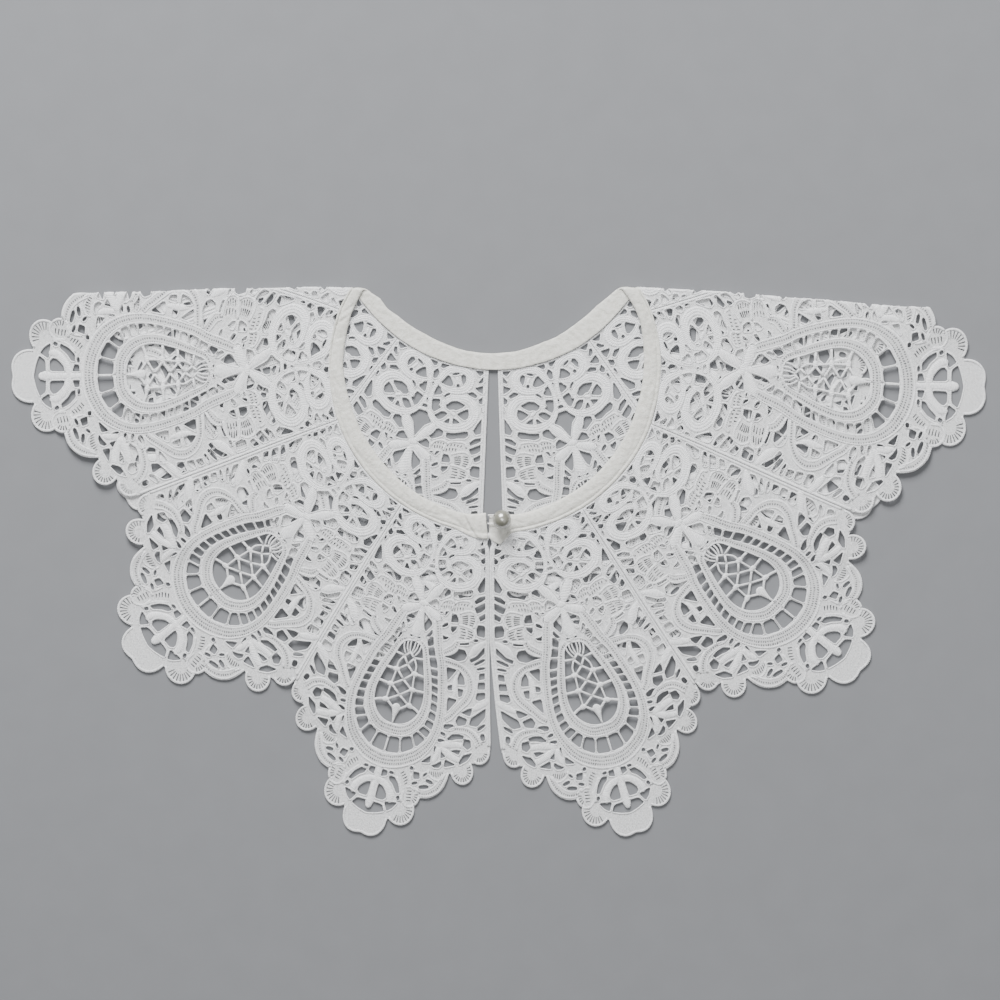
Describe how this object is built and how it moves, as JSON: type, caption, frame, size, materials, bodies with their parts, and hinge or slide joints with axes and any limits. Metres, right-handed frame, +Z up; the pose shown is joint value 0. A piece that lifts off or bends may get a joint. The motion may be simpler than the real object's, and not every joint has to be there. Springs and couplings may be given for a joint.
{
  "type": "lace collar",
  "caption": "Detachable guipure lace collar with scalloped petals, a satin neck binding and a pearl button with a thread loop, laid flat with its front uppermost.",
  "frame": {"origin": "on the table, under the middle of the part's box", "axes": "+X towards the wearer's left, +Y from the front hem to the shoulders, +Z up off the table"},
  "size_m": [0.4675, 0.2624, 0.0129],
  "materials": {
    "lace": "white cotton guipure lace, matt",
    "satin": "ivory satin ribbon, soft sheen",
    "pearl": "pale imitation pearl, glossy",
    "thread": "white sewing thread"
  },
  "bodies": {
    "root": {"lace_loop_side": "lace", "lace_button_side": "lace", "neck_binding": "satin", "pearl_button": "pearl", "button_loop": "thread"}
  },
  "joints": []
}
